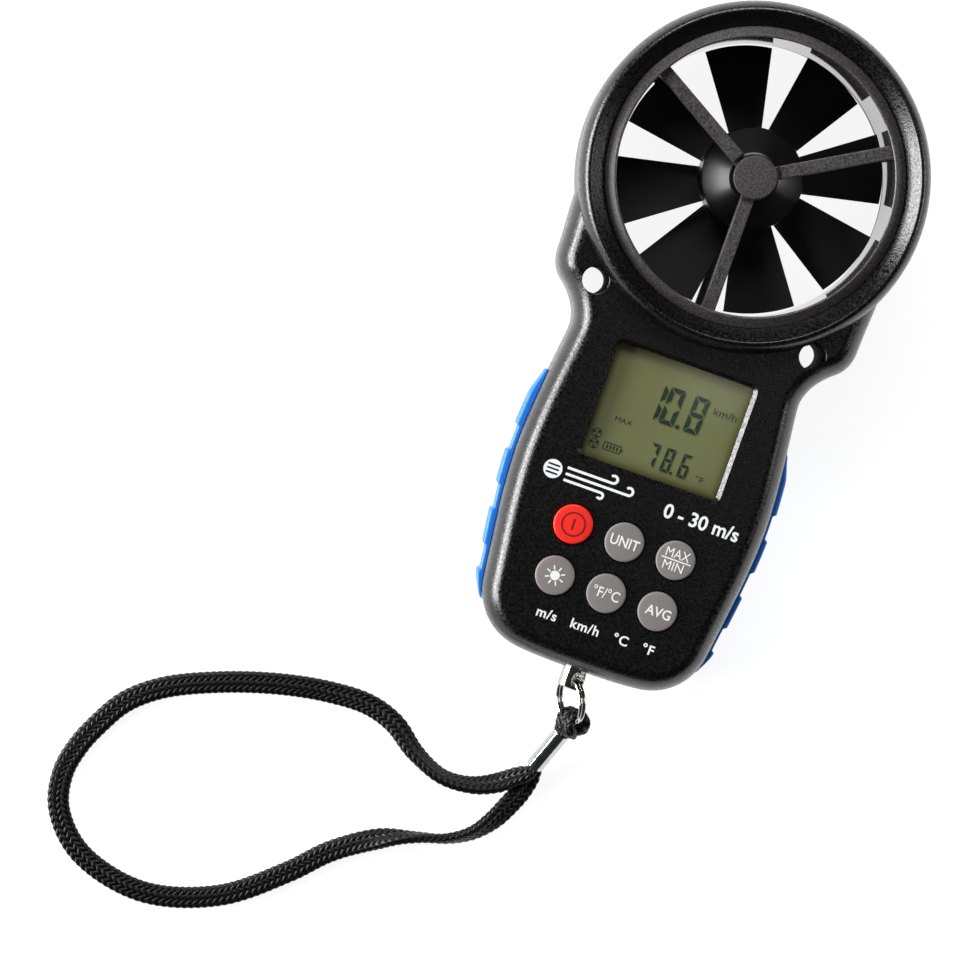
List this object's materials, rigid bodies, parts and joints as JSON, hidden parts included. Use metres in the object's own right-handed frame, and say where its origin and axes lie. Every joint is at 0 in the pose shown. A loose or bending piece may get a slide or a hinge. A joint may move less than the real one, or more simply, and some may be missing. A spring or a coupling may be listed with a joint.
{
  "type": "handheld weather meter",
  "caption": "Handheld vane anemometer with a round vane duct, a display, round push buttons, side grips, a rear battery door and a braided wrist strap on a split ring.",
  "frame": {"origin": "middle of the underside of the meter as it lies on its back, leaving out the split ring and strap", "axes": "+Z out of the front face, +Y from the buttons towards the vane ring, +X to the right as seen from the front"},
  "size_m": [0.1498, 0.2532, 0.038],
  "materials": {
    "black_plastic": "fine textured, satin",
    "duct_plastic": "satin",
    "impeller_plastic": "smooth",
    "blue_grip": "satin, soft touch",
    "clear_window": "polished",
    "lcd_glass": "smooth, olive",
    "white_plastic": "satin",
    "light_guide": "frosted",
    "dark_rubber": "matt",
    "grey_rubber": "matt",
    "grey_button": "matt, printed",
    "red_button": "matt, printed",
    "circuit_board": "solder mask",
    "chip": "moulded",
    "battery_shell": "printed foil",
    "red_wire": "smooth",
    "black_wire": "smooth",
    "foam": "open cell",
    "brass": "turned",
    "steel": "zinc plated",
    "magnet": "nickel plated",
    "chrome": "polished",
    "ferrule_metal": "polished, rolled",
    "black_braid": "braided, glossy yarn"
  },
  "bodies": {
    "case": {"front_case": "black_plastic", "rear_case": "black_plastic", "left_grip": "blue_grip", "right_grip": "blue_grip", "display_window": "clear_window", "lcd_glass": "lcd_glass", "lcd_frame": "white_plastic", "backlight_panel": "light_guide", "zebra_strip": "dark_rubber", "keypad_membrane": "grey_rubber", "main_board": "circuit_board", "controller_chip": "chip", "temperature_sensor": "chip", "battery": "battery_shell", "battery_snap": "dark_rubber", "battery_lead_red": "red_wire", "battery_lead_black": "black_wire", "duct_liner": "duct_plastic", "rear_guard": "duct_plastic", "hub_cap": "duct_plastic", "front_bearing": "brass", "rear_bearing": "brass", "speed_sensor": "chip", "sensor_cable": "black_wire", "case_screw_1": "steel", "case_screw_2": "steel", "case_screw_3": "steel", "case_screw_4": "steel", "tripod_insert": "brass", "lanyard_post": "chrome", "wrist_strap": "black_braid"},
    "vane": {"impeller": "impeller_plastic", "impeller_shaft": "steel", "hub_magnet": "magnet"},
    "power_button": {"power_button": "red_button"},
    "unit_button": {"unit_button": "grey_button"},
    "max_min_button": {"max_min_button": "grey_button"},
    "backlight_button": {"backlight_button": "grey_button"},
    "temperature_unit_button": {"temperature_unit_button": "grey_button"},
    "average_button": {"average_button": "grey_button"},
    "door": {"battery_door": "black_plastic", "battery_pad": "foam"},
    "lanyard": {"split_ring": "chrome", "strap_eye": "black_braid", "strap_ferrule": "ferrule_metal"}
  },
  "joints": [
    {"name": "impeller_spin", "type": "hinge", "parent": "case", "child": "vane", "pos_m": [0, 0.0434, 0.02], "axis": [0, 0, 1], "continuous": true},
    {"name": "power_button_press", "type": "slide", "parent": "case", "child": "power_button", "axis": [0, 0, -1], "range_m": [0, 0.0007], "stiffness_N_per_m": 600, "springref_m": -0.0008},
    {"name": "unit_button_press", "type": "slide", "parent": "case", "child": "unit_button", "axis": [0, 0, -1], "range_m": [0, 0.0007], "stiffness_N_per_m": 600, "springref_m": -0.0008},
    {"name": "max_min_button_press", "type": "slide", "parent": "case", "child": "max_min_button", "axis": [0, 0, -1], "range_m": [0, 0.0007], "stiffness_N_per_m": 600, "springref_m": -0.0008},
    {"name": "backlight_button_press", "type": "slide", "parent": "case", "child": "backlight_button", "axis": [0, 0, -1], "range_m": [0, 0.0007], "stiffness_N_per_m": 600, "springref_m": -0.0008},
    {"name": "temperature_unit_button_press", "type": "slide", "parent": "case", "child": "temperature_unit_button", "axis": [0, 0, -1], "range_m": [0, 0.0007], "stiffness_N_per_m": 600, "springref_m": -0.0008},
    {"name": "average_button_press", "type": "slide", "parent": "case", "child": "average_button", "axis": [0, 0, -1], "range_m": [0, 0.0007], "stiffness_N_per_m": 600, "springref_m": -0.0008},
    {"name": "battery_door_open", "type": "hinge", "parent": "case", "child": "door", "pos_m": [0, -0.0183, 0.0013], "axis": [1, 0, 0], "range_deg": [0, 75]},
    {"name": "split_ring_swing", "type": "hinge", "parent": "case", "child": "lanyard", "pos_m": [0, -0.0823, 0.019], "axis": [-0.6, 0, -0.8], "range_deg": [0, 35], "deforming": ["wrist_strap"]}
  ]
}
